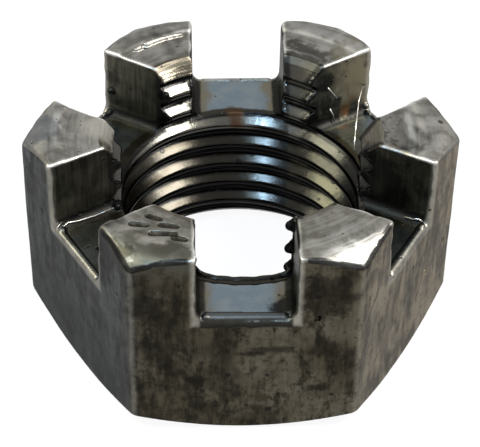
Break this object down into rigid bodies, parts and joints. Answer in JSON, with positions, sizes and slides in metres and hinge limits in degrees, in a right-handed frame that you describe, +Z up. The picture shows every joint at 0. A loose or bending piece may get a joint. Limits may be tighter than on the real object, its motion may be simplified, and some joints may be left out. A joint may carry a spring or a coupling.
{
  "type": "castle nut",
  "caption": "Slotted hexagon nut: prongs round the crown let a cotter pin lock it on a drilled bolt or stud.",
  "frame": {"origin": "centre of the bearing face, on the axis of the threaded bore", "axes": "+Z up the bore from the bearing face to the crown; flats of the hexagon face -Y and +Y, corners lie on -X and +X"},
  "size_m": [0.0236, 0.0206, 0.0123],
  "materials": {
    "bare_steel": "bare machined steel, dulled, smeared with oil and lightly stained"
  },
  "bodies": {
    "root": {"castle_nut": "bare_steel"}
  },
  "joints": []
}
